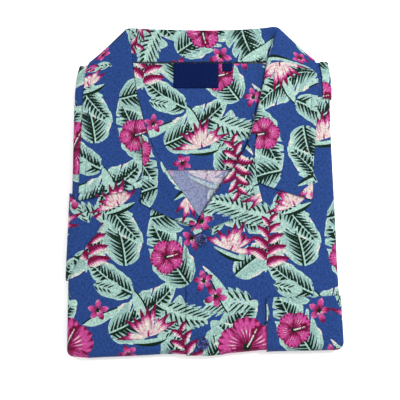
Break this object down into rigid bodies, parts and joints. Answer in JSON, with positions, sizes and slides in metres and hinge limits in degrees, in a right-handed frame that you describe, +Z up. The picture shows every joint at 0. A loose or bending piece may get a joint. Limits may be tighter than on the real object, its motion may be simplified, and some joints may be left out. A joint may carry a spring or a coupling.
{
  "type": "folded hawaiian shirt",
  "caption": "Short-sleeved aloha shirt with a camp collar, buttoned, folded for the shelf and lying face up; no lettering.",
  "frame": {"origin": "under the middle of the folded shirt, on the surface it lies on", "axes": "+Y from the hem fold to the collar, +X to the viewer's right, +Z up out of the front"},
  "size_m": [0.3267, 0.4059, 0.0195],
  "materials": {
    "print": "matte",
    "reverse": "matte",
    "label": "satin",
    "button": "gloss"
  },
  "bodies": {
    "root": {"right_front": "print", "left_front": "print", "right_facing": "print", "left_facing": "print", "collar": "print", "yoke_lining": "print", "back_yoke": "print", "pocket": "print", "right_sleeve": "print", "left_sleeve": "print", "back_panel": "reverse", "folded_layers": "reverse", "neck_label": "label", "size_label": "label", "button_1": "button", "button_2": "button"}
  },
  "joints": []
}
